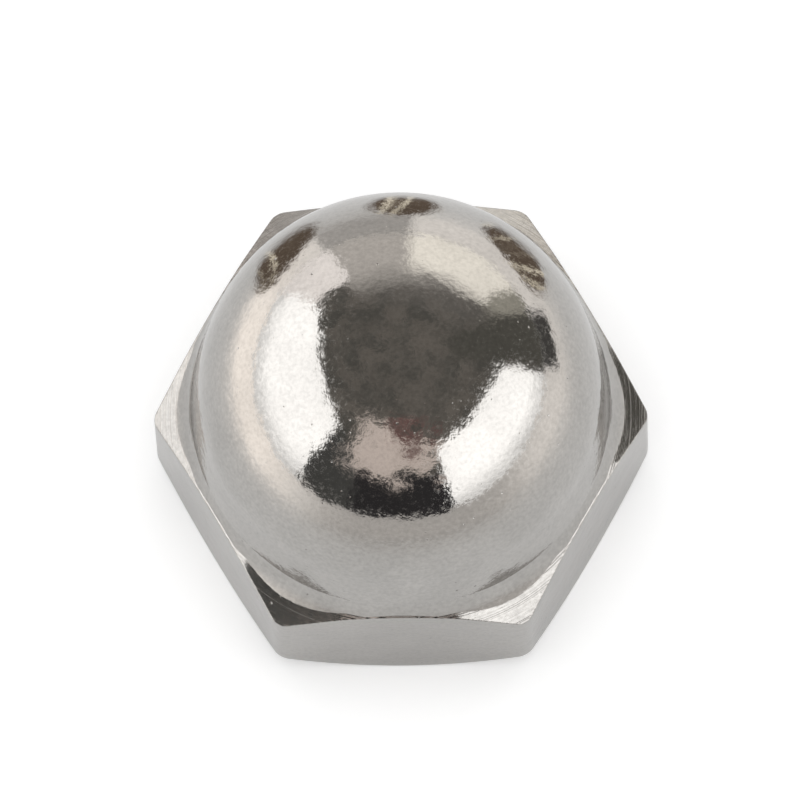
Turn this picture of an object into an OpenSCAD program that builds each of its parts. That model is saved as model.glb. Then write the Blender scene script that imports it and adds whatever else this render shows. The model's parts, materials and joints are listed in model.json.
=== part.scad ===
// Cap nut: a hexagon nut whose threaded hole is blind, closed by a domed crown.
// One solid, turned from hexagon bar and then drilled and tapped from below.
// Millimetres. The origin is on the thread axis at the bearing face, and +Z runs
// up to the top of the crown. Two of the hexagon's corners lie on the X axis.

/* [Hexagon] */
// Width across the flats, the spanner size
across_flats = 13; // [10:0.1:18]
// How far each corner is cut back from where two flats would meet
corner_trim = 0.08; // [0.02:0.01:0.3]
// Height of the hexagon: the upper chamfer's cone at a flat's middle
hex_h = 5.35; // [4:0.05:8]
// How far the rim of the flat bearing face stands inside the flats
bearing_inset = 0.05; // [0.02:0.01:0.6]
// Slope of the lower chamfer above the bearing face, degrees
lower_chamfer = 45; // [15:1:55]
// Slope of the upper chamfer below the horizontal, degrees
upper_chamfer = 39; // [25:1:45]

/* [Neck and crown] */
// How far the cove's rim stands outside the flats, on the upper chamfer
rim_outset = 0.24; // [0.1:0.01:0.4]
// Radius of the hollow cove that spreads the neck's foot onto the hexagon
cove_r = 2.35; // [1.8:0.05:2.9]
// Slope at which the cove leaves its rim, degrees
cove_start = 51; // [46:1:55]
// Slope at which the cove reaches the neck, degrees
cove_end = 75; // [70:1:76]
// Height of the crown's centre above the neck's foot
crown_rise = 1; // [0.85:0.05:1.6]
// How far the crown's sphere stands inside the flats
crown_inset = 0.4; // [0.33:0.01:0.5]
// Slight turn in where the tapered neck meets the crown, degrees
neck_turn = 3; // [1.5:0.5:4]

/* [Tapped hole] */
// Nominal diameter of the thread
thread_d = 8; // [5:0.1:9.6]
// How much smaller than the thread the tap drill is, which leaves the thread's crests
drill_allowance = 1.2; // [0.5:0.05:1.5]
// How much wider than the thread the countersink is
mouth_allowance = 0.7; // [0.2:0.1:1.2]
// Included angle of the countersink, degrees
mouth_angle = 90; // [60:1:120]
// Included angle of the drill's point, degrees
drill_point = 118; // [90:1:140]
// Thickness of the crown above the drill's point
crown_wall = 1.2; // [0.8:0.1:3]

/* [Hidden] */
$fn = 96;
// A cut starts this far outside the face that it enters
over = 0.5;
flat_r = across_flats / 2;
sharp_r = flat_r / cos(30);
corner_r = sharp_r - corner_trim;
bearing_r = flat_r - bearing_inset;
// Heights at which the two chamfers reach the corners
lower_rim_z = (corner_r - bearing_r) * tan(lower_chamfer);
upper_rim_z = chamfer_z(corner_r);
// The cove runs from its rim on the chamfer up to the neck's foot
rim_r = flat_r + rim_outset;
cove_c = [rim_r, chamfer_z(rim_r)] + cove_r * out(cove_start);
neck_foot = cove_c - cove_r * out(cove_end);
crown_r = flat_r - crown_inset;
crown_z = neck_foot.y + crown_rise;
total_h = crown_z + crown_r;
// The neck's slope: its line passes the crown's centre a little inside the sphere
neck_slope = 90 + atan2(crown_rise, neck_foot.x)
    - acos(crown_r * cos(neck_turn) / norm([neck_foot.x, crown_rise]));
// The neck's line ends inside the crown, and below it ends on the chamfer inside the cove
neck_top = [0, crown_z] + crown_r * cos(neck_turn) * out(neck_slope);
web_r = (neck_foot.y + neck_foot.x * tan(neck_slope) - hex_h - flat_r * tan(upper_chamfer))
    / (tan(neck_slope) - tan(upper_chamfer));
bore_r = (thread_d - drill_allowance) / 2;
mouth_r = (thread_d + mouth_allowance) / 2;
mouth_h = (mouth_r - bore_r) / tan(mouth_angle / 2);
point_h = bore_r / tan(drill_point / 2);
bore_depth = total_h - crown_wall - point_h;

// Height of the upper chamfer's cone at a radius
function chamfer_z(r) = hex_h - (r - flat_r) * tan(upper_chamfer);

// Outward direction square to a surface that rises inwards at a slope
function out(slope) = [sin(slope), cos(slope)];

// Point in the metal straight behind the place where the cove has a slope
function cove_spoke(slope) = cove_c - (cove_r + over) * out(slope);

// Half section of the turned outside: lower chamfer, corners, upper chamfer, neck and crown
module turned_section() {
    polygon([
        [0, 0], [bearing_r, 0], [corner_r, lower_rim_z], [corner_r, upper_rim_z],
        [web_r, chamfer_z(web_r)], neck_top, [0, neck_top.y]
    ]);
    intersection() {
        translate([0, crown_z]) circle(r = crown_r);
        translate([0, crown_z]) square(crown_r + over);
    }
    cove_section();
}

// Half section of the neck's spread foot, which the cove hollows out
module cove_section() {
    difference() {
        polygon([
            [0, 0], cove_spoke((upper_chamfer + cove_start) / 2), cove_c, cove_spoke(neck_slope)
        ]);
        translate(cove_c) circle(r = cove_r);
    }
}

// Half section of the hole: countersunk mouth, straight wall and drill point
module hole_section() {
    polygon([
        [0, -over], [mouth_r + over * tan(mouth_angle / 2), -over], [bore_r, mouth_h],
        [bore_r, bore_depth], [0, bore_depth + point_h]
    ]);
}

module cap_nut() {
    color([0.78, 0.76, 0.73]) difference() {
        intersection() {
            cylinder(r = sharp_r, h = total_h + over, $fn = 6);
            rotate_extrude() turned_section();
        }
        rotate_extrude() hole_section();
    }
}

cap_nut();
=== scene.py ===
"""The looks of a plated cap nut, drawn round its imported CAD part.

The hexagon, its chamfers, the cove and the crown are one turned blank. One sixth of it, round a
corner, is made as a mesh, and Geometry Nodes repeat it round the axis. The tapped hole is a grid
that winds up with the thread. The stage is a pale floor under soft studio light.
Everything is in metres in the part's own frame: +Z is the thread axis and z = 0 the bearing face.
"""

import json
from math import acos, atan2, cos, pi, radians, sin, sqrt, tan

import bpy
import numpy as np
from bpy.props import FloatProperty, FloatVectorProperty, IntProperty, PointerProperty
from mathutils import Matrix, Vector, noise


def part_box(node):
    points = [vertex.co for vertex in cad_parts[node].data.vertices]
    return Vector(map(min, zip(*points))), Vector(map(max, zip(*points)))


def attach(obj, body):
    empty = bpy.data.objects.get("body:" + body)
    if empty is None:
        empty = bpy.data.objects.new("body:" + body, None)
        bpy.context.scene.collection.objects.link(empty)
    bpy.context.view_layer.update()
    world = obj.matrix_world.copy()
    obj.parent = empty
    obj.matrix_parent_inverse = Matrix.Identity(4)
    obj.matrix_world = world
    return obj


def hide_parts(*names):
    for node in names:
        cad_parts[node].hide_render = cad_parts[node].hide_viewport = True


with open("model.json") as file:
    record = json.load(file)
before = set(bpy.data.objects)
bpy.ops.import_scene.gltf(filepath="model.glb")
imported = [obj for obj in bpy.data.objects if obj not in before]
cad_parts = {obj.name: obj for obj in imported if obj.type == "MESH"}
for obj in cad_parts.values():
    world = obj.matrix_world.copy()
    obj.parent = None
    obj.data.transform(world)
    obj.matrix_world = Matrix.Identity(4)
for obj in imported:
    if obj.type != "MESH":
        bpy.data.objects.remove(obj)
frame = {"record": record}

bl_info = {
    "name": "Cap nut",
    "version": (1, 0, 0),
    "blender": (4, 5, 0),
    "location": "View3D > Sidebar > Cap nut",
    "description": "Builds a nickel-plated cap nut and a small studio round its CAD part",
    "category": "Object",
}

MM = 0.001
NUT_NODE = "cap_nut"
NUT_PIECE = "plated_cap_nut"
FLAT_HALF = radians(30)      # turn from a corner to the middle of a flat
FACET_HALF = radians(15)     # turn from a corner over which its facet is flattened
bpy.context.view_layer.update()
NUT_LOW, NUT_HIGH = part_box(NUT_NODE)


def mount_radius(name):
    """Radius of one of the part's round mounts, in metres."""
    mounts = {mount["name"]: mount for mount in frame["record"]["mounts"]}
    return mounts[name]["dims"]["r_mm"] * MM


# ---------------------------------------------------------------- settings


class CapNutSizes(bpy.types.PropertyGroup):
    """Sizes of the blank: hexagon, cove and crown."""

    across_flats: FloatProperty(
        name="Across flats", description="Spanner size of the hexagon",
        default=NUT_HIGH.y - NUT_LOW.y, unit="LENGTH", precision=5)
    across_corners: FloatProperty(
        name="Across corners", description="Width over two opposite corners",
        default=NUT_HIGH.x - NUT_LOW.x, unit="LENGTH", precision=5)
    total_height: FloatProperty(
        name="Total height", description="Bearing face to the top of the crown",
        default=NUT_HIGH.z - NUT_LOW.z, unit="LENGTH", precision=5)
    hex_height: FloatProperty(
        name="Hexagon height", description="Upper chamfer's cone at the middle of a flat",
        default=5.35 * MM, unit="LENGTH", precision=5)
    bearing_width: FloatProperty(
        name="Bearing face", description="Diameter of the flat bearing face",
        default=12.9 * MM, unit="LENGTH", precision=5)
    lower_chamfer: FloatProperty(
        name="Lower chamfer", description="Slope of the chamfer above the bearing face",
        default=radians(45), subtype="ANGLE")
    upper_chamfer: FloatProperty(
        name="Upper chamfer", description="Slope of the corners' facets below the horizontal",
        default=radians(39), subtype="ANGLE")
    cove_width: FloatProperty(
        name="Cove rim", description="Diameter of the cove's rim on the upper chamfer",
        default=13.48 * MM, unit="LENGTH", precision=5)
    cove_radius: FloatProperty(
        name="Cove radius", description="Hollow that spreads the neck's foot",
        default=2.35 * MM, unit="LENGTH", precision=5)
    cove_start: FloatProperty(
        name="Cove start", description="Slope at which the cove leaves its rim",
        default=radians(51), subtype="ANGLE")
    cove_end: FloatProperty(
        name="Cove end", description="Slope at which the cove reaches the neck",
        default=radians(75), subtype="ANGLE")
    crown_width: FloatProperty(
        name="Crown", description="Diameter of the crown's sphere",
        default=12.2 * MM, unit="LENGTH", precision=5)
    neck_turn: FloatProperty(
        name="Neck turn", description="Slight turn in where the tapered neck meets the crown",
        default=radians(3), subtype="ANGLE")
    edge_blend: FloatProperty(
        name="Lower edge blend", description="Width over which plating softens the lower chamfer",
        default=0.16 * MM, unit="LENGTH", precision=5)
    rim_blend: FloatProperty(
        name="Upper edge blend", description="Width over which plating softens the upper chamfer",
        default=0.045 * MM, unit="LENGTH", precision=5)
    lip: FloatProperty(
        name="Lip", description="Width that the upper chamfer keeps along the flats",
        default=0.055 * MM, unit="LENGTH", precision=5)
    facet_flatness: FloatProperty(
        name="Facet flatness", description="How flat the corners' facets are: 0 is a cone",
        default=0.6, min=0, max=1)
    foot_blend: FloatProperty(
        name="Foot radius", description="Rounding of the bearing face's rim",
        default=0.07 * MM, unit="LENGTH", precision=5)
    columns: IntProperty(
        name="Columns", description="Mesh columns over one sixth of the blank", default=48, min=12)


class CapNutThread(bpy.types.PropertyGroup):
    """Sizes of the tapped hole."""

    pitch: FloatProperty(
        name="Pitch", description="Rise of the thread in one turn",
        default=1.25 * MM, unit="LENGTH", precision=5)
    bore_radius: FloatProperty(
        name="Bore radius", description="Tap drill, which leaves the crests of the thread",
        default=mount_radius("thread"), unit="LENGTH", precision=5)
    thread_length: FloatProperty(
        name="Threaded length", description="Depth at which the tap's thread has run out",
        default=8.75 * MM, unit="LENGTH", precision=5)
    bore_depth: FloatProperty(
        name="Bore depth", description="Depth of the drill's full diameter",
        default=9.88 * MM, unit="LENGTH", precision=5)
    point_angle: FloatProperty(
        name="Drill point", description="Included angle of the drill's point",
        default=radians(118), subtype="ANGLE")
    mouth_radius: FloatProperty(
        name="Mouth radius", description="Countersink at the bearing face",
        default=4.35 * MM, unit="LENGTH", precision=5)
    mouth_angle: FloatProperty(
        name="Mouth angle", description="Included angle of the countersink",
        default=radians(90), subtype="ANGLE")
    rows_per_turn: IntProperty(
        name="Rows a turn", description="Mesh rows over one pitch", default=16, min=8)


class CapNutFinish(bpy.types.PropertyGroup):
    """Colour and surface of the plating."""

    plate_colour: FloatVectorProperty(
        name="Plating", description="Nickel plate on the outside", subtype="COLOR",
        size=4, default=(0.47, 0.455, 0.435, 1), min=0, max=1)
    worn_colour: FloatVectorProperty(
        name="Worn edge", description="Plate rubbed bright along the edges", subtype="COLOR",
        size=4, default=(0.56, 0.545, 0.52, 1), min=0, max=1)
    thread_colour: FloatVectorProperty(
        name="Thread", description="Thin plate inside the tapped hole", subtype="COLOR",
        size=4, default=(0.50, 0.45, 0.38, 1), min=0, max=1)
    roughness: FloatProperty(
        name="Roughness", description="Roughness of the polished plate", default=0.08,
        min=0, max=1)
    facet_roughness: FloatProperty(
        name="Facet roughness", description="Roughness of the turned chamfers", default=0.14,
        min=0, max=1)
    groove_pitch: FloatProperty(
        name="Groove pitch", description="Spacing of the turning marks on the chamfers",
        default=0.035 * MM, unit="LENGTH", precision=5)
    groove_depth: FloatProperty(
        name="Groove depth", description="Depth of the turning marks on the chamfers",
        default=0.0085 * MM, unit="LENGTH", precision=6)
    facet_shade: FloatProperty(
        name="Facet shade", description="How much darker the turned chamfers are", default=0.1,
        min=0, max=1)
    matt_specks: FloatProperty(
        name="Matt specks", description="Roughness that the grain's high spots add", default=0.1,
        min=0, max=1)
    grain_size: FloatProperty(
        name="Grain size", description="Width of the plate's fine grain",
        default=0.13 * MM, unit="LENGTH", precision=5)
    grain_depth: FloatProperty(
        name="Grain depth", description="Height of the plate's fine grain",
        default=0.004 * MM, unit="LENGTH", precision=7)
    swell_size: FloatProperty(
        name="Swell size", description="Width of the wider ripples under the grain",
        default=0.5 * MM, unit="LENGTH", precision=5)
    swell_depth: FloatProperty(
        name="Swell depth", description="Height of the wider ripples under the grain",
        default=0.010 * MM, unit="LENGTH", precision=6)
    pit_spacing: FloatProperty(
        name="Pit spacing", description="Distance between small pits in the plate",
        default=0.28 * MM, unit="LENGTH", precision=5)
    wave_size: FloatProperty(
        name="Wave size", description="Width of the faint waves left by polishing",
        default=1.9 * MM, unit="LENGTH", precision=5)
    wave_depth: FloatProperty(
        name="Wave depth", description="Depth of the waves left by polishing",
        default=0.003 * MM, unit="LENGTH", precision=6)


class CapNutStage(bpy.types.PropertyGroup):
    """Floor, light and camera."""

    floor_radius: FloatProperty(
        name="Floor radius", description="Radius of the floor", default=3, unit="LENGTH")
    floor_near: FloatProperty(
        name="Even floor", description="Radius of the floor's evenly bright middle",
        default=0.014, unit="LENGTH")
    floor_colour: FloatVectorProperty(
        name="Floor", description="Colour of the floor", subtype="COLOR",
        size=4, default=(0.88, 0.88, 0.88, 1), min=0, max=1)
    # painted shadow of the nut round its foot, which only the metal mirrors
    shade_near: FloatProperty(
        name="Shade to", description="Distance up to which the metal mirrors no floor glow",
        default=0.014, unit="LENGTH", precision=4)
    shade_far: FloatProperty(
        name="Glow from", description="Distance from which the metal mirrors all the floor glow",
        default=0.050, unit="LENGTH", precision=4)
    floor_glow: FloatProperty(
        name="Floor glow", description="Light that lifts the floor to white for the camera",
        default=0.28, min=0)
    mirror_glow: FloatProperty(
        name="Mirrored glow", description="Light that lifts the floor in the metal's reflections",
        default=0.37, min=0)
    even_light: FloatVectorProperty(
        name="Even light", description="The room's mean light, which falls on the floor",
        subtype="COLOR", size=4, default=(0.62, 0.62, 0.62, 1), min=0)
    lamp_power: FloatProperty(
        name="Lamp", description="Power of the lamp over the floor", default=8, unit="POWER")
    softbox: FloatProperty(
        name="Softbox", description="Brightness of the two softboxes", default=2.2, min=0)
    view_turn: FloatProperty(
        name="View turn", description="Camera's azimuth from the +Y direction",
        default=radians(2.5), subtype="ANGLE")
    view_rise: FloatProperty(
        name="View rise", description="Camera's height above the horizon",
        default=radians(73.8), subtype="ANGLE")
    view_roll: FloatProperty(
        name="View roll", description="Camera's roll about its own axis",
        default=radians(2.9), subtype="ANGLE")
    view_distance: FloatProperty(
        name="View distance", description="Camera to the middle of the nut", default=0.6,
        unit="LENGTH")
    lens: FloatProperty(
        name="Lens", description="Focal length in millimetres", default=900, min=50)


# ---------------------------------------------------------------- node helpers


class Value:
    """A node's output. Arithmetic with it adds Math nodes to the same tree."""

    def __init__(self, socket):
        self.socket = socket

    def __add__(self, other):
        return calc("ADD", self, other)

    def __sub__(self, other):
        return calc("SUBTRACT", self, other)

    def __rsub__(self, other):
        return calc("SUBTRACT", other, self)

    def __mul__(self, other):
        return calc("MULTIPLY", self, other)

    def __truediv__(self, other):
        return calc("DIVIDE", self, other)

    def __rtruediv__(self, other):
        return calc("DIVIDE", other, self)

    def clamped(self):
        """The same value, which its own Math node keeps between 0 and 1."""
        self.socket.node.use_clamp = True
        return self


def tree_of(*values):
    """The node tree of the first Value among some values."""
    return next(value.socket.id_data for value in values if isinstance(value, Value))


def feed(node, inputs):
    """Joins a node's inputs to Values, or sets them to plain values."""
    for socket, value in inputs.items():
        if isinstance(value, Value):
            node.id_data.links.new(value.socket, node.inputs[socket])
        else:
            node.inputs[socket].default_value = value


def add(tree, kind, inputs=None, **settings):
    """Adds a node to a tree, sets it up and feeds its inputs."""
    node = tree.nodes.new(kind)
    row, column = divmod(len(tree.nodes), 12)
    node.location = (200 * column, -260 * row)
    for name, value in settings.items():
        setattr(node, name, value)
    feed(node, inputs or {})
    return node


def outputs(node):
    """All of a node's outputs, by their names."""
    return {socket.name: Value(socket) for socket in node.outputs}


def output(tree, kind, inputs=None, which=0, **settings):
    """Adds a node to a tree and gives one of its outputs."""
    return Value(add(tree, kind, inputs, **settings).outputs[which])


def calc(operation, *values):
    """A Math node's output."""
    return output(tree_of(*values), "ShaderNodeMath", dict(enumerate(values)),
                  operation=operation)


def ramp(value, low, high, start=0.0, end=1.0, shape="LINEAR"):
    """Output that goes from start to end while a value goes from low to high."""
    return output(tree_of(value), "ShaderNodeMapRange", {
        "Value": value, "From Min": low, "From Max": high, "To Min": start, "To Max": end},
        interpolation_type=shape)


def smooth_step(value, low, high, start=0.0, end=1.0):
    """A ramp that leaves its start and reaches its end softly."""
    return ramp(value, low, high, start, end, "SMOOTHSTEP")


def mix(share, low, high, blend="MIX"):
    """Colour that turns from low into high, or into their product, as the share goes to 1."""
    return output(tree_of(share, low, high), "ShaderNodeMix", {0: share, 6: low, 7: high}, 2,
                  data_type="RGBA", blend_type=blend)


def split(vector):
    """A vector's three parts."""
    return list(outputs(add(tree_of(vector), "ShaderNodeSeparateXYZ", {0: vector})).values())


def new_group(name, kind, inputs, results):
    """A node group and its two ends. An input gives its default number, or else its kind."""
    tree = bpy.data.node_groups.new(name, kind)
    numbers = {float: "Float", int: "Int"}
    for label, value in inputs.items():
        number = numbers.get(type(value))
        made = tree.interface.new_socket(label, in_out="INPUT",
                                         socket_type="NodeSocket" + (number or value))
        if number:
            made.default_value = value
    for label, value in results.items():
        tree.interface.new_socket(label, in_out="OUTPUT", socket_type="NodeSocket" + value)
    start = tree.nodes.new("NodeGroupInput")
    end = tree.nodes.new("NodeGroupOutput")
    return tree, outputs(start), end


def place_group(tree, group, inputs):
    """Puts a shader node group into a tree, and returns its outputs."""
    return outputs(add(tree, "ShaderNodeGroup", inputs, node_tree=group))


def add_modifier(piece, tree, values):
    """Gives a piece a Geometry Nodes modifier, with its inputs set by their identifiers."""
    modifier = piece.modifiers.new(tree.name, "NODES")
    modifier.node_group = tree
    for item in tree.interface.items_tree:
        if item.item_type == "SOCKET" and item.in_out == "INPUT" and item.name in values:
            modifier[item.identifier] = values[item.name]


# ---------------------------------------------------------------- the blank

BEARING_RINGS = (0, 0.01, 0.1, 0.35, 0.65, 0.9)     # shares of the way from mouth to foot
FOOT_POINTS = 6              # over the foot's quarter round
CROWN_ROWS = 46              # from the crown's foot to its top
FOOT_WEAR = 0.6              # how much of an edge the foot's rounding is, for wear
CORNER_CROWD = 0.3           # spacing of the columns at a corner, as a share of an even one
FINE_ROW = 0.03 * MM         # half the height of the narrow rows along a crease
LEAST_STEP = 0.004 * MM      # between two rows
CLOSE = 0.001 * MM           # how closely a crossing is found
JOIN = 0.0001 * MM           # distance up to which points are merged


def spread(low, high, count):
    """Evenly spaced values, the first of them left out."""
    return list(np.linspace(low, high, count + 1)[1:])


class Blank:
    """The turned outside in one plane: its profile, and how the hexagon cuts it."""

    def __init__(self, sizes):
        self.sizes = sizes
        self.flat = sizes.across_flats / 2
        self.bearing = sizes.bearing_width / 2
        self.crown = sizes.crown_width / 2
        self.rim = sizes.cove_width / 2
        self.crown_z = sizes.total_height - self.crown
        self.fall = tan(sizes.upper_chamfer)
        self.rise = tan(sizes.lower_chamfer)
        self.rim_z = self.chamfer_z(self.rim)
        self.cove_x = self.rim + sizes.cove_radius * sin(sizes.cove_start)
        self.cove_z = self.rim_z + sizes.cove_radius * cos(sizes.cove_start)
        self.neck = self.cove_x - sizes.cove_radius * sin(sizes.cove_end)
        self.neck_z = self.cove_z - sizes.cove_radius * cos(sizes.cove_end)
        climb = self.crown_z - self.neck_z
        inside = self.crown * cos(sizes.neck_turn) / sqrt(self.neck ** 2 + climb ** 2)
        self.taper = acos(inside) - atan2(climb, self.neck)
        self.crown_lap = self.taper - sizes.neck_turn
        self.neck_top_z = self.crown_z + self.crown * sin(self.crown_lap)
        sharp = self.flat / cos(FLAT_HALF)
        self.corner = (sharp - sizes.across_corners / 2) / (1 / cos(FLAT_HALF) - 1)
        self.corner_axis = (self.flat - self.corner) / cos(FLAT_HALF)

    def facet_swell(self, turn):
        """How far the flattened facets stand outside the upper chamfer's cone."""
        aside = min(abs(turn), FACET_HALF)
        return self.sizes.facet_flatness * self.sizes.across_corners / 2 * (1 / cos(aside) - 1)

    def chamfer_z(self, reach, turn=0):
        """Height of the upper chamfer at a radius and at an angle from a corner."""
        return self.sizes.hex_height - (reach - self.flat - self.facet_swell(turn)) * self.fall

    def hexagon(self, turn):
        """Distance from the axis to the round-cornered hexagon, at an angle from a corner."""
        side = self.corner * sin(FLAT_HALF)
        ahead = self.corner_axis + self.corner * cos(FLAT_HALF)
        if abs(turn) > atan2(side, ahead):
            return self.flat / cos(FLAT_HALF - abs(turn))
        across = self.corner_axis * sin(turn)
        return self.corner_axis * cos(turn) + sqrt(self.corner ** 2 - across ** 2)

    def upper(self, z, reach, turn):
        """Radius of the turned outside above the flats: chamfer, lip, cove and neck."""
        if z >= self.neck_z:
            return self.neck - (z - self.neck_z) * tan(self.taper)
        chamfer = self.flat + self.facet_swell(turn) + (self.sizes.hex_height - z) / self.fall
        drop = min(self.cove_z - z, self.sizes.cove_radius)
        cove = self.cove_x - sqrt(self.sizes.cove_radius ** 2 - drop ** 2)
        return max(chamfer, min(cove, reach - self.sizes.lip))

    def lower(self, z):
        """Radius of the chamfer above the bearing face."""
        return self.bearing + z / self.rise

    def cove_height(self, reach):
        """Height of the cove at a radius."""
        return self.cove_z - sqrt(self.sizes.cove_radius ** 2 - (self.cove_x - reach) ** 2)

    def facet_top(self, turn):
        """Radius at which the upper chamfer ends, at the cove or at the lip's inner edge."""
        inner, outer = self.neck, self.rim
        while outer - inner > CLOSE:
            middle = (inner + outer) / 2
            if self.cove_height(middle) > self.chamfer_z(middle, turn):
                inner = middle
            else:
                outer = middle
        return min(outer, self.hexagon(turn) - self.sizes.lip)

    def radius(self, turn, z):
        """Radius of the finished blank, with its turned edges blended, and how near an edge is."""
        reach = self.hexagon(turn)
        turned, blend = min((self.lower(z), self.sizes.edge_blend),
                            (self.upper(z, reach, turn), self.sizes.rim_blend))
        near = max(0.0, 1 - abs(reach - turned) / blend)
        return min(reach, turned) - blend * near ** 2 / 4, near

    def heights(self, turn):
        """Heights of a column's rows, from the foot's rounding to the crown's foot."""
        reach, rim_blend = self.hexagon(turn), self.sizes.rim_blend
        low = (reach - self.bearing) * self.rise
        low_half = self.sizes.edge_blend * self.rise
        inner = self.facet_top(turn)
        # top of each stretch of even rows, and how many rows it has
        stretches = ((low - low_half, 3), (low + low_half, 8),
                     (self.chamfer_z(reach + rim_blend, turn), 10),
                     (self.chamfer_z(reach - rim_blend, turn), 8),
                     (self.chamfer_z(inner, turn), 8), (self.cove_height(inner) + FINE_ROW, 6),
                     (self.neck_z - FINE_ROW, 14), (self.neck_z + FINE_ROW, 2),
                     (self.neck_top_z, 8))
        rows = [self.sizes.foot_blend]
        for top, count in stretches:
            rows += spread(rows[-1], top, count)
        for index in range(1, len(rows)):
            rows[index] = max(rows[index], rows[index - 1] + LEAST_STEP)
        return rows[1:]

    def column(self, turn, even_turn, mouth):
        """Points of one column, from the hole's mouth out and up to the top of the crown.

        A point is its angle, radius and height, how near an edge it is, and whether it is on a
        turned facet. On the bearing face, columns go over from even angles to the hexagon's.
        """
        foot = self.sizes.foot_blend
        edge = self.radius(turn, 0)[0] - foot
        points = []
        for share in BEARING_RINGS:
            blend = share ** 2
            points.append((even_turn * (1 - blend) + turn * blend,
                           mouth + (edge - mouth) * share, 0, 0, 0))
        for angle in np.linspace(0, pi / 2, FOOT_POINTS):
            z = foot * (1 - cos(angle))
            reach, near = self.radius(turn, z)
            points.append((turn, reach - foot * (1 - sin(angle)), z, max(near, FOOT_WEAR), 0))
        facet_low = self.chamfer_z(self.hexagon(turn), turn)
        facet_high = self.chamfer_z(self.facet_top(turn), turn)
        for z in self.heights(turn):
            reach, near = self.radius(turn, z)
            points.append((turn, reach, z, near, facet_low <= z <= facet_high))
        for angle in spread(self.crown_lap, pi / 2, CROWN_ROWS):
            z = self.crown_z + self.crown * sin(angle)
            points.append((turn, self.crown * cos(angle), z, 0, 0))
        return points


def sixth_of_blank(sizes, mouth):
    """Mesh of the blank between the middles of two flats, round the corner on the X axis."""
    blank = Blank(sizes)
    columns = []
    for place in np.linspace(-1, 1, sizes.columns + 1):
        turn = FLAT_HALF * (CORNER_CROWD * place + (1 - CORNER_CROWD) * place ** 3)
        columns.append(blank.column(turn, FLAT_HALF * place, mouth))
    rows = len(columns[0])
    points = [point for column in columns for point in column]
    verts = [(reach * cos(turn), reach * sin(turn), z) for turn, reach, z, *_ in points]
    faces = []
    for column in range(len(columns) - 1):
        for here in range(column * rows, column * rows + rows - 1):
            faces.append((here, here + rows, here + rows + 1, here + 1))
    mesh = bpy.data.meshes.new("sixth_of_blank")
    mesh.from_pydata(verts, [], faces)
    for name, item in (("edge", 3), ("facet", 4)):
        marks = mesh.attributes.new(name, "FLOAT", "POINT")
        marks.data.foreach_set("value", [float(point[item]) for point in points])
    return mesh


def repeat_round_axis():
    """Geometry Nodes: copies a part of a turn round the Z axis and joins the copies."""
    tree, given, end = new_group(
        "Repeat round axis", "GeometryNodeTree",
        {"Part": "Geometry", "Count": 6, "Join distance": JOIN, "Material": "Material"},
        {"Whole": "Geometry"})
    line = output(tree, "GeometryNodeMeshLine", {"Count": given["Count"], "Offset": (0, 0, 0)})
    turn = output(tree, "GeometryNodeInputIndex") * (2 * pi) / given["Count"]
    aim = output(tree, "ShaderNodeCombineXYZ", {"Z": turn})
    copies = output(tree, "GeometryNodeInstanceOnPoints",
                    {"Points": line, "Instance": given["Part"], "Rotation": aim})
    real = output(tree, "GeometryNodeRealizeInstances", {"Geometry": copies})
    joined = output(tree, "GeometryNodeMergeByDistance",
                    {"Geometry": real, "Distance": given["Join distance"]})
    smooth = output(tree, "GeometryNodeSetShadeSmooth", {"Geometry": joined})
    again = output(tree, "GeometryNodeRealizeInstances", {"Geometry": smooth})
    painted = output(tree, "GeometryNodeSetMaterial",
                     {"Geometry": again, "Material": given["Material"]})
    feed(end, {"Whole": painted})
    return tree


# ---------------------------------------------------------------- the tapped hole

THREAD_DEPTH = 0.487         # from the tap drill's wall to the root, in pitches
FLANK_RUN = 0.281            # how far a 60 degree thread's flank goes along the axis, in pitches
FLANK_END = 0.344            # from a root's middle to its flank's end at the wall, in pitches
BORE_ROWS = 20               # above the thread, up to the drill's point
WALL_SHARE = 0.3             # of those rows, on the plain wall


def wound_grid(columns, rows, position):
    """A grid whose points go to what position(u, v) gives, turned to face the axis."""
    tree = tree_of(columns)
    grid = output(tree, "GeometryNodeMeshGrid", {
        "Size X": 1.0, "Size Y": 1.0, "Vertices X": columns + 1, "Vertices Y": rows + 1})
    x, y, _ = split(output(tree, "GeometryNodeInputPosition"))
    u, v = x + 0.5, y + 0.5
    radius, z = position(u, v)
    turn = u * (2 * pi)
    point = output(tree, "ShaderNodeCombineXYZ", {
        "X": radius * calc("COSINE", turn), "Y": radius * calc("SINE", turn), "Z": z})
    moved = output(tree, "GeometryNodeSetPosition", {"Geometry": grid, "Position": point})
    return output(tree, "GeometryNodeFlipFaces", {0: moved})


def cut_thread(given):
    """Countersink and thread, on rows that climb with the helix."""
    pitch, length = given["Pitch"], given["Thread length"]
    turns = calc("CEIL", length / pitch) + 1

    def position(u, v):
        climb = v * turns - 1
        z = calc("MINIMUM", calc("MAXIMUM", (u + climb) * pitch, 0.0), length)
        off_root = calc("ABSOLUTE", calc("FRACT", climb + 1) - 0.5)
        shape = ((FLANK_END - off_root) / FLANK_RUN).clamped()
        fade = ((length - z) / pitch).clamped()
        thread = given["Bore radius"] + pitch * THREAD_DEPTH * shape * fade
        mouth = given["Mouth radius"] - z * calc("TANGENT", given["Mouth half angle"])
        return calc("MAXIMUM", thread, mouth), z

    return wound_grid(given["Columns"], turns * given["Rows a turn"], position)


def drill_bore(given):
    """Plain wall above the thread and the drill's point that ends the hole."""
    bore, length = given["Bore radius"], given["Thread length"]

    def position(_, v):
        up_wall = (v / WALL_SHARE).clamped()
        wall_z = up_wall * (given["Bore depth"] - length) + length
        inward = ((v - WALL_SHARE) / (1 - WALL_SHARE)).clamped()
        point = bore * inward / calc("TANGENT", given["Point half angle"])
        return bore * (1 - inward), wall_z + point

    return wound_grid(given["Columns"], BORE_ROWS, position)


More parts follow.
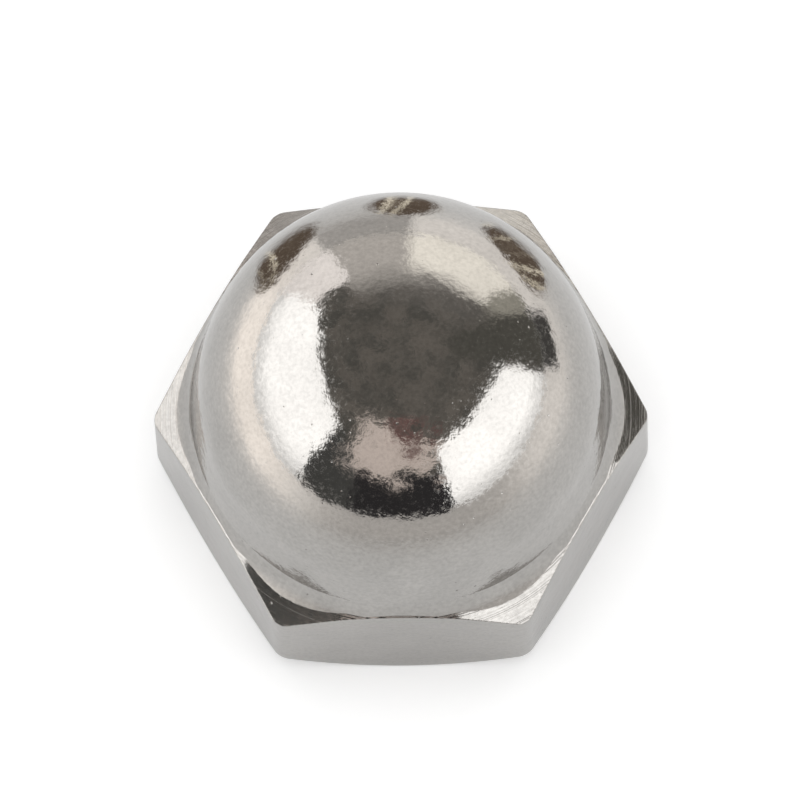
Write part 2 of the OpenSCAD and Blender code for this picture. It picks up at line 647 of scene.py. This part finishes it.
def tapped_hole():
    """Geometry Nodes: joins a countersunk, tapped and blind hole to the blank round its mouth."""
    tree, given, end = new_group(
        "Tapped hole", "GeometryNodeTree",
        {"Blank": "Geometry", "Bore radius": 3.4 * MM, "Bore depth": 9.88 * MM,
         "Pitch": 1.25 * MM, "Thread length": 8.75 * MM, "Mouth radius": 4.35 * MM,
         "Mouth half angle": radians(45), "Point half angle": radians(59),
         "Columns": 288, "Rows a turn": 16, "Join distance": JOIN, "Material": "Material"},
        {"Nut": "Geometry"})
    hole = add(tree, "GeometryNodeJoinGeometry")
    for part in (cut_thread(given), drill_bore(given)):
        feed(hole, {0: part})
    marked = output(tree, "GeometryNodeStoreNamedAttribute",
                    {"Geometry": Value(hole.outputs[0]), "Name": "tapped", "Value": True},
                    data_type="BOOLEAN", domain="FACE")
    both = add(tree, "GeometryNodeJoinGeometry")
    for part in (given["Blank"], marked):
        feed(both, {0: part})
    joined = output(tree, "GeometryNodeMergeByDistance",
                    {"Geometry": Value(both.outputs[0]), "Distance": given["Join distance"]})
    smooth = output(tree, "GeometryNodeSetShadeSmooth", {"Geometry": joined})
    real = output(tree, "GeometryNodeRealizeInstances", {"Geometry": smooth})
    inside = output(tree, "GeometryNodeInputNamedAttribute", {"Name": "tapped"}, "Attribute",
                    data_type="BOOLEAN")
    painted = output(tree, "GeometryNodeSetMaterial",
                     {"Geometry": real, "Selection": inside, "Material": given["Material"]})
    feed(end, {"Nut": painted})
    return tree


# ---------------------------------------------------------------- the plating

NOISE_SPAN = (0.3, 0.7)          # within which nearly all of a noise's values lie
SPECKLE_SHADE = (0.88, 1.07)     # of the plate's colour, from the grain's hollows to its tops
STAIN_SPAN = (0.62, 0.38)        # of the cloudy noise, from stained plate to clean plate
STAIN_SHADE = (0.95, 1.02)       # of the plate's colour, where stained and where clean
PIT_SHADE = 0.2                  # how much darker a pit is
PIT_REACH, PIT_RAMP, PIT_DEPTH = 0.16, 0.1, 0.03     # a pit's reach, wall, depth, in spacings
DULL_SHARES = (0.7, 1.4)         # of the roughness, in glossy and in dull patches
MATT_SPAN = (0.54, 0.66)         # of the grain's height, from glossy to matt
HOLE_ROUGHNESS = 0.14            # what the thread's thin plate adds to the roughness
RUB_SPREAD, RUB_SPAN = 1.5, (0.25, 0.75)     # how noise breaks up the rubbed edges
WAVES_FROM = 4.6 * MM            # radius, or height over the middle, at which the waves begin
HOLE_REACH = 4.1 * MM            # radius that the tapped hole stays within
HOLE_TOP = 12.2 * MM             # height that it stays below


def plate_grain():
    """Shader nodes: grain, swell and small pits of polished plate, as a height in metres."""
    tree, given, end = new_group(
        "Plate grain", "ShaderNodeTree",
        {"Place": "Vector", "Grain size": 0.13 * MM, "Grain depth": 0.004 * MM,
         "Swell size": 0.5 * MM, "Swell depth": 0.01 * MM, "Pit spacing": 0.3 * MM},
        {"Height": "Float", "Pits": "Float", "Cloud": "Float", "Speckle": "Float"})

    def texture(size, detail):
        return output(tree, "ShaderNodeTexNoise",
                      {"Vector": given["Place"], "Scale": 1 / size, "Detail": detail,
                       "Roughness": 0.55}, "Fac")

    grain = texture(given["Grain size"], 2.0)
    swell = texture(given["Swell size"], 1.0)
    cloud = texture(given["Swell size"] * 4, 3.0)
    cell = outputs(add(tree, "ShaderNodeTexVoronoi",
                       {"Vector": given["Place"], "Scale": 1 / given["Pit spacing"]}))
    size = output(tree, "ShaderNodeSeparateColor", {0: cell["Color"]}, "Red")
    reach = calc("POWER", size, 3.0) * PIT_REACH
    pit = ((reach - cell["Distance"]) / PIT_RAMP).clamped()
    height = grain * given["Grain depth"] + swell * given["Swell depth"]
    feed(end, {"Height": height - pit * given["Pit spacing"] * PIT_DEPTH, "Pits": pit,
               "Cloud": cloud, "Speckle": grain})
    return tree


def edge_rub():
    """Shader nodes: where handling has rubbed the plate, broken up by noise."""
    tree, given, end = new_group(
        "Edge rub", "ShaderNodeTree",
        {"Place": "Vector", "Edge": 0.0, "Patch size": 0.6 * MM}, {"Rub": "Float"})
    patches = output(tree, "ShaderNodeTexNoise",
                     {"Vector": given["Place"], "Detail": 3.0, "Scale": 1 / given["Patch size"]},
                     "Fac")
    feed(end, {"Rub": smooth_step(given["Edge"] * (patches * RUB_SPREAD), *RUB_SPAN)})
    return tree


def new_material(name):
    """A material with its own empty tree, a Principled BSDF and its output."""
    material = bpy.data.materials.new(name)
    material.use_nodes = True
    tree = material.node_tree
    tree.nodes.clear()
    shader = add(tree, "ShaderNodeBsdfPrincipled")
    end = add(tree, "ShaderNodeOutputMaterial", {"Surface": Value(shader.outputs[0])})
    return material, tree, shader, end


def turning_marks(place, facet, finish):
    """Height of the fine rings that turning leaves on the facets."""
    x, y, _ = split(place)
    across = calc("SQRT", x * x + y * y)
    rings = output(tree_of(place), "ShaderNodeTexNoise",
                   {"W": across / finish.groove_pitch, "Scale": 1.0, "Detail": 1.0}, "Fac",
                   noise_dimensions="1D")
    return (rings - 0.5) * (facet * finish.groove_depth)


def plated_metal(name, colour, worn, finish, rough_more, groups):
    """Polished nickel plate: grain and pits in relief, turned facets, edges rubbed bright."""
    material, tree, shader, _ = new_material(name)
    grain_group, rub_group = groups
    place = output(tree, "ShaderNodeTexCoord", which="Object")
    edge, facet = [output(tree, "ShaderNodeAttribute", which="Fac", attribute_name=mark)
                   for mark in ("edge", "facet")]
    grain = place_group(tree, grain_group, {
        "Place": place, "Grain size": finish.grain_size, "Grain depth": finish.grain_depth,
        "Swell size": finish.swell_size, "Swell depth": finish.swell_depth,
        "Pit spacing": finish.pit_spacing})
    rub = place_group(tree, rub_group, {"Place": place, "Edge": edge})["Rub"]
    speckle = ramp(grain["Speckle"], *NOISE_SPAN, *SPECKLE_SHADE)
    stain = smooth_step(grain["Cloud"], *STAIN_SPAN, *STAIN_SHADE)
    shade = speckle * (stain - grain["Pits"] * PIT_SHADE) * (1 - facet * finish.facet_shade)
    cloudy = ramp(grain["Cloud"], *NOISE_SPAN,
                  *(finish.roughness * dull + rough_more for dull in DULL_SHARES))
    matt = ramp(grain["Speckle"], *MATT_SPAN, 0.0, finish.matt_specks)
    turned = finish.facet_roughness - finish.roughness
    relief = output(tree, "ShaderNodeBump", {
        "Height": grain["Height"] + turning_marks(place, facet, finish), "Distance": 1.0})
    feed(shader, {"Base Color": mix(1.0, mix(rub, colour, worn), shade, "MULTIPLY"),
                  "Roughness": facet * turned + (matt * (1 - facet) + cloudy),
                  "Normal": relief, "Metallic": 1.0})
    return material


def wave_plate(mesh, finish):
    """Moves the skin in by the faint waves that polishing leaves, but not the hole's skin."""
    points = np.empty(len(mesh.vertices) * 3)
    mesh.vertices.foreach_get("co", points)
    points = points.reshape(-1, 3)
    normals = np.array([normal.vector[:] for normal in mesh.vertex_normals])
    reach = np.hypot(points[:, 0], points[:, 1])
    outside = np.clip((np.maximum(reach, points[:, 2]) - WAVES_FROM) / MM, 0, 1)
    near_axis = reach < HOLE_REACH
    outside[near_axis] *= points[near_axis, 2] > HOLE_TOP
    depth = [finish.wave_depth * (0.5 + 0.5 * noise.noise(Vector(point) / finish.wave_size))
             for point in points]
    points -= normals * (outside * np.array(depth))[:, None]
    mesh.vertices.foreach_set("co", points.ravel())
    mesh.update()


# ---------------------------------------------------------------- the stage

FLOOR_SIDES = 96
# painted reflections of dark neighbouring nuts, drawn on the floor for the metal alone: bearing
# near the nut, its change with distance, half width, near and far end
PAINTED_REFLECTIONS = ((-31.0, -13.0, 13.0, 0.0145, 0.080),
         (1.0, 0.0, 10.0, 0.0130, 0.042),
         (31.0, 15.0, 13.5, 0.0145, 0.070))
REFLECTION_SIDE = (1.5, -3.5)      # degrees past a painted reflection's outline, from bare to covered
REFLECTION_ENDS = ((-0.04, 0.22), (1.03, 0.88))    # the same at its two ends, in lengths of the painted reflection
REFLECTION_ROUND = (0.17 * pi, 0.78 * pi)          # start and length of the sine that rounds it
# colours of the painted reflections and of their painted glints
REFLECTION_COLOUR = (0.17, 0.13, 0.10, 1)
GLINT_COLOUR = (1.15, 1.05, 0.86, 1)
STREAK_SPAN = (0.54, 0.66)   # of the streaks' noise, from a painted reflection's colour to a painted glint's
STREAKS = (0.28, 60.0)       # how fast that noise changes by bearing and by distance
# painted light on the mirrored floor, darker toward the front and brighter toward the west: where
# each change begins and ends, and its two values
FRONT_PAINTED_SHADE = (0.3, 0.9, 1.02, 0.58)
WEST_PAINTED_LIGHT = (0.3, 0.95, 0.0, 0.45)
# painted shade on the mirrored floor at the foot of the arm and of the grey wall: bearing, half
# width, near and far edge, how much darker
PAINTED_FLOOR_SHADES = ((67.5, 10.5, 0.052, 0.062, 0.92),
                 (-11.0, 15.0, 0.018, 0.045, 0.50))
PATCH_BLUR = 2               # degrees to each side of a patch's edge
GLOW_COLOUR = (1.0, 0.88, 0.77, 1)
WHITE = (1, 1, 1, 1)
LEAST_AHEAD = 0.001          # of a direction that meets a card
PALE_BOOST = 0.7             # share of a painted tone over 1 that is added as glow
LAMP_WIDTH, LAMP_HEIGHT = 1.4, 1.3       # in metres
# upright cards: facing, left, right, bottom and top at a distance of 1, side blur, top blur, colour
WALLS = (
    (10, -0.9, 0.9, -1.0, 1.10, 0.8, 1.40, (0.25, 0.235, 0.22)),
    (-10, -0.30, 1.35, -1.0, 0.72, 0.2, 0.70, (0.80, 0.76, 0.72)),
    (50, -0.22, 0.12, -1.0, 0.50, 0.1, 0.3, (0.50, 0.48, 0.42)),
    (24, -0.36, 0.40, -1.0, 0.55, 0.12, 0.30, (1.56, 1.50, 1.38)),
    (-36, -0.30, 0.20, -1.0, 0.54, 0.06, 0.14, (1.52, 1.45, 1.42)),
    (67, -0.18, 0.215, -1.0, 1.60, 0.06, 0.6, (0.135, 0.13, 0.115)),
    (193, -0.80, 0.82, -1.0, 0.56, 0.05, 0.08, (0.045, 0.043, 0.045)),
    (218, -0.24, 0.22, -1.0, 0.86, 0.05, 0.1, (0.10, 0.10, 0.096)),
)
FRONT_PATCHES = (
    (194, -0.34, 0.36, 0.52, 1.42, 0.12, 0.16, (1.02, 0.89, 0.82)),
    (167, -0.36, 0.20, 0.62, 1.02, 0.12, 0.16, (1.02, 0.89, 0.82)),
    (170, -0.27, 0.32, 1.02, 1.65, 0.24, 0.40, (0.25, 0.145, 0.135)),
)
SOFTBOXES = (
    (-101, -0.54, 1.36, -1.0, 1.075, 0.04, 0.06, None),
    (130, -1.12, 0.46, -1.0, 0.87, 0.04, 0.06, None),
)
WALL_WARP, PATCH_WARP = 0.09, 1.1        # how far noise bends the edges of cards
CEILING = ((0.128, 0.124, 0.113, 1), (0.225, 0.205, 0.184, 1))
CEILING_SPAN = (0.36, 0.64)              # of the noise, from the first colour to the second
HAZE_SHARE, HAZE_TOP = 0.60, 0.24        # a softbox's brightness at the floor, and where it is full


def painted_reflection_covers(bearing, away):
    """Cover of the painted reflections of dark neighbouring nuts at the back of the floor, and
    their colour with streaks of painted glints.
    """
    cover = 0.0
    for start, drift, half, near, far in PAINTED_REFLECTIONS:
        span = calc("LOGARITHM", away / near, far / near)
        along = calc("MAXIMUM", calc("MINIMUM", span, 1.0), 0.0)
        aside = calc("ABSOLUTE", bearing - (along * drift + start))
        width = calc("SINE", along * REFLECTION_ROUND[1] + REFLECTION_ROUND[0]) * half
        first, last = [smooth_step(span, *end) for end in REFLECTION_ENDS]
        painted_reflection = smooth_step(aside - width, *REFLECTION_SIDE) * (first * last)
        cover = calc("MAXIMUM", cover, painted_reflection)
    painted_glint = output(tree_of(away), "ShaderNodeTexNoise",
                    {"W": bearing * STREAKS[0] + away * STREAKS[1], "Scale": 1.0,
                     "Detail": 2.0}, "Fac", noise_dimensions="1D")
    return cover, mix(smooth_step(painted_glint, *STREAK_SPAN), REFLECTION_COLOUR, GLINT_COLOUR)


def painted_floor_light(stage, x, y, bearing, away):
    """Painted light and shade of the mirrored floor: its brightness as a share of the plain
    floor's.
    """
    front, west = y * -1.0 / away, x * -1.0 / away
    painted_tone = smooth_step(front, *FRONT_PAINTED_SHADE) + smooth_step(west, *WEST_PAINTED_LIGHT)
    painted_tone = (painted_tone - 1) * smooth_step(away, stage.floor_near, stage.floor_near * 3) + 1
    # painted shade at the foot of the arm and of the grey wall
    for facing, half, near, far, share in PAINTED_FLOOR_SHADES:
        aside = calc("ABSOLUTE", bearing - facing)
        inside = smooth_step(aside, half + PATCH_BLUR, half - PATCH_BLUR)
        painted_shade = inside * smooth_step(away, near, far)
        painted_tone = painted_tone * (1 - painted_shade * share)
    return painted_tone


def pale_floor(stage):
    """Plain matt white, with a glow for the camera, and painted light, shade and reflections that
    only the metal mirrors.
    """
    material, tree, shader, end = new_material("pale_floor")
    place = output(tree, "ShaderNodeTexCoord", which="Object")
    x, y, _ = split(place)
    away = output(tree, "ShaderNodeVectorMath", {0: place}, "Value", operation="LENGTH")
    bearing = calc("ARCTAN2", x, y) * (180 / pi)
    ray = outputs(add(tree, "ShaderNodeLightPath"))
    mirrored = ray["Is Glossy Ray"]
    # painted light and shade on the floor, seen only by glossy rays
    painted_tone = (painted_floor_light(stage, x, y, bearing, away) - 1) * mirrored + 1
    over = calc("MAXIMUM", painted_tone - 1, 0.0)
    # painted shadow of the nut: no mirrored glow up to shade_near, all of it from shade_far
    lit = mirrored * smooth_step(away, stage.shade_near, stage.shade_far)
    glow = (painted_tone * stage.mirror_glow + over * PALE_BOOST) * lit
    seen = calc("MAXIMUM", ray["Is Camera Ray"], ray["Is Transmission Ray"])
    paint = mix(1.0, stage.floor_colour, calc("MINIMUM", painted_tone, 1.0), "MULTIPLY")
    feed(shader, {"Base Color": paint, "Roughness": 1.0, "Specular IOR Level": 0.0,
                  "Emission Color": mix(mirrored, WHITE, GLOW_COLOUR),
                  "Emission Strength": seen * stage.floor_glow + glow})
    # painted reflections of neighbouring nuts, which only glossy rays see
    cover, colour = painted_reflection_covers(bearing, away)
    painted_reflection = output(tree, "ShaderNodeEmission", {"Color": colour, "Strength": 1.0})
    both = output(tree, "ShaderNodeMixShader",
                  {0: cover * mirrored, 1: Value(shader.outputs[0]), 2: painted_reflection})
    feed(end, {"Surface": both})
    return material


def make_floor(stage):
    """Round floor at the bearing face's height."""
    turns = [2 * pi * side / FLOOR_SIDES for side in range(FLOOR_SIDES)]
    rim = [(stage.floor_radius * cos(turn), stage.floor_radius * sin(turn), NUT_LOW.z)
           for turn in turns]
    mesh = bpy.data.meshes.new("floor")
    mesh.from_pydata(rim, [], [tuple(range(FLOOR_SIDES))])
    mesh.materials.append(pale_floor(stage))
    floor = bpy.data.objects.new("floor", mesh)
    bpy.context.collection.objects.link(floor)


def make_lamp(stage):
    """Broad soft lamp over the floor, which the metal doesn't mirror."""
    light = bpy.data.lights.new("lamp", "AREA")
    light.shape = "DISK"
    light.size = LAMP_WIDTH
    light.energy = stage.lamp_power
    lamp = bpy.data.objects.new("lamp", light)
    lamp.location = (0, 0, LAMP_HEIGHT)
    lamp.visible_camera = False
    lamp.visible_glossy = False
    bpy.context.collection.objects.link(lamp)


def card_group():
    """Shader nodes: how much of a flat card, upright at a distance of 1, lies in a direction."""
    tree, given, end = new_group(
        "Upright card", "ShaderNodeTree",
        {"Direction": "Vector", "Facing": 0.0, "Left": -1.0, "Right": 1.0, "Bottom": 0.0,
         "Top": 1.0, "Side blur": 0.02, "Top blur": 0.02}, {"Cover": "Float"})
    x, y, z = split(given["Direction"])
    sine, cosine = calc("SINE", given["Facing"]), calc("COSINE", given["Facing"])
    ahead = x * sine + y * cosine
    near = calc("MAXIMUM", ahead, LEAST_AHEAD)
    across, up = (x * cosine - y * sine) / near, z / near
    cover = calc("GREATER_THAN", ahead, LEAST_AHEAD)
    for high, low, blur in ((across, given["Left"], given["Side blur"]),
                            (given["Right"], across, given["Side blur"]),
                            (up, given["Bottom"], given["Top blur"]),
                            (given["Top"], up, given["Top blur"])):
        cover = cover * smooth_step(high - low, blur * -0.5, blur * 0.5)
    feed(end, {"Cover": cover})
    return tree


def make_world(stage):
    """Dim room with two softboxes and a few cards, for the metal to mirror."""
    world = bpy.data.worlds.new("studio")
    world.use_nodes = True
    bpy.context.scene.world = world
    tree = world.node_tree
    tree.nodes.clear()
    straight = output(tree, "ShaderNodeTexCoord", which="Generated")
    up = split(straight)[2]
    rough = outputs(add(tree, "ShaderNodeTexNoise", {
        "Vector": straight, "Scale": 7.0, "Detail": 4.0, "Roughness": 0.6}))
    centred = output(tree, "ShaderNodeVectorMath", {0: rough["Color"], 1: (0.5, 0.5, 0.5)},
                     operation="SUBTRACT")

    def warped(amount):
        shift = output(tree, "ShaderNodeVectorMath", {0: centred, "Scale": amount},
                       operation="SCALE")
        return output(tree, "ShaderNodeVectorMath", {0: straight, 1: shift}, operation="ADD")

    even_edge, ragged_edge = warped(WALL_WARP), warped(PATCH_WARP)
    haze = smooth_step(up, 0.0, HAZE_TOP, stage.softbox * HAZE_SHARE, stage.softbox)
    colour = mix(smooth_step(rough["Fac"], *CEILING_SPAN), *CEILING)
    card = card_group()
    for place, cards in ((even_edge, WALLS), (ragged_edge, FRONT_PATCHES), (even_edge, SOFTBOXES)):
        for facing, left, right, bottom, top, side_blur, top_blur, shade in cards:
            cover = place_group(tree, card, {
                "Direction": place, "Facing": radians(facing), "Left": left, "Right": right,
                "Bottom": bottom, "Top": top, "Side blur": side_blur, "Top blur": top_blur})
            colour = mix(cover["Cover"], colour, (*shade, 1) if shade else haze)
    sky = mix(calc("GREATER_THAN", up, 0.0), WHITE, colour)
    room = output(tree, "ShaderNodeBackground", {"Color": sky, "Strength": 1.0})
    even = output(tree, "ShaderNodeBackground", {"Color": stage.even_light, "Strength": 1.0})
    ray = outputs(add(tree, "ShaderNodeLightPath"))
    seen = calc("MAXIMUM", ray["Is Camera Ray"], ray["Is Glossy Ray"])
    light = output(tree, "ShaderNodeMixShader", {0: seen, 1: even, 2: room})
    add(tree, "ShaderNodeOutputWorld", {"Surface": light})


def make_camera(stage):
    """Camera high over the front of the nut, with a long lens."""
    camera = bpy.data.cameras.new("camera")
    camera.lens = stage.lens
    camera.sensor_width = 36
    camera.clip_start = 0.01
    camera.clip_end = 10
    seen = bpy.data.objects.new("camera", camera)
    bpy.context.collection.objects.link(seen)
    rise, turn = stage.view_rise, stage.view_turn
    back = Vector((sin(turn) * cos(rise), -cos(turn) * cos(rise), sin(rise)))
    middle = (NUT_LOW + NUT_HIGH) / 2
    look = (-back).to_track_quat("-Z", "Y").to_matrix().to_4x4()
    seen.matrix_world = (Matrix.Translation(middle + back * stage.view_distance) @ look
                         @ Matrix.Rotation(-stage.view_roll, 4, "Z"))
    bpy.context.scene.camera = seen


# ---------------------------------------------------------------- operators and panel


class CAPNUT_OT_add_nut(bpy.types.Operator):
    """Builds the plated nut: the blank, its tapped hole and its finish"""

    bl_idname = "cap_nut.add_nut"
    bl_label = "Add cap nut"

    def execute(self, context):
        scene = context.scene
        sizes, thread, finish = scene.cap_nut_sizes, scene.cap_nut_thread, scene.cap_nut_finish
        groups = (plate_grain(), edge_rub())
        plate = plated_metal("nickel_plate", finish.plate_colour, finish.worn_colour,
                             finish, 0.0, groups)
        inside = plated_metal("plated_thread", finish.thread_colour, finish.thread_colour,
                              finish, HOLE_ROUGHNESS, groups)
        draft = bpy.data.objects.new("draft", sixth_of_blank(sizes, thread.mouth_radius))
        context.collection.objects.link(draft)
        add_modifier(draft, repeat_round_axis(), {"Material": plate})
        add_modifier(draft, tapped_hole(), {
            "Bore radius": thread.bore_radius, "Bore depth": thread.bore_depth,
            "Pitch": thread.pitch, "Thread length": thread.thread_length,
            "Mouth radius": thread.mouth_radius, "Mouth half angle": thread.mouth_angle / 2,
            "Point half angle": thread.point_angle / 2, "Columns": sizes.columns * 6,
            "Rows a turn": thread.rows_per_turn, "Material": inside})
        depsgraph = context.evaluated_depsgraph_get()
        mesh = bpy.data.meshes.new_from_object(draft.evaluated_get(depsgraph))
        bpy.data.objects.remove(draft)
        wave_plate(mesh, finish)
        nut = bpy.data.objects.new(NUT_PIECE, mesh)
        context.collection.objects.link(nut)
        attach(nut, "root")
        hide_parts(NUT_NODE)
        return {"FINISHED"}


class CAPNUT_OT_add_stage(bpy.types.Operator):
    """Builds the floor, the studio light and the camera"""

    bl_idname = "cap_nut.add_stage"
    bl_label = "Add stage"

    def execute(self, context):
        stage = context.scene.cap_nut_stage
        context.scene.view_settings.view_transform = "Standard"
        make_floor(stage)
        make_lamp(stage)
        make_world(stage)
        make_camera(stage)
        return {"FINISHED"}


class CAPNUT_PT_panel(bpy.types.Panel):
    """Lists the nut's operators and settings in the sidebar"""

    bl_label = "Cap nut"
    bl_idname = "CAPNUT_PT_panel"
    bl_space_type = "VIEW_3D"
    bl_region_type = "UI"
    bl_category = "Cap nut"

    def draw(self, context):
        scene = context.scene
        for operator, settings in [
                ("cap_nut.add_nut", [scene.cap_nut_sizes, scene.cap_nut_thread,
                                     scene.cap_nut_finish]),
                ("cap_nut.add_stage", [scene.cap_nut_stage])]:
            box = self.layout.box()
            box.operator(operator)
            for group in settings:
                for name in group.__annotations__:
                    box.prop(group, name)


SETTINGS = {"cap_nut_sizes": CapNutSizes, "cap_nut_thread": CapNutThread,
            "cap_nut_finish": CapNutFinish, "cap_nut_stage": CapNutStage}
CLASSES = [*SETTINGS.values(), CAPNUT_OT_add_nut, CAPNUT_OT_add_stage, CAPNUT_PT_panel]


def register():
    for item in CLASSES:
        bpy.utils.register_class(item)
    for name, group in SETTINGS.items():
        setattr(bpy.types.Scene, name, PointerProperty(type=group))


def unregister():
    for name in SETTINGS:
        delattr(bpy.types.Scene, name)
    for item in reversed(CLASSES):
        bpy.utils.unregister_class(item)


def main():
    """Registers the add-on, and builds the nut and its stage."""
    register()
    bpy.ops.cap_nut.add_nut()
    bpy.ops.cap_nut.add_stage()


if __name__ == "__main__":
    main()
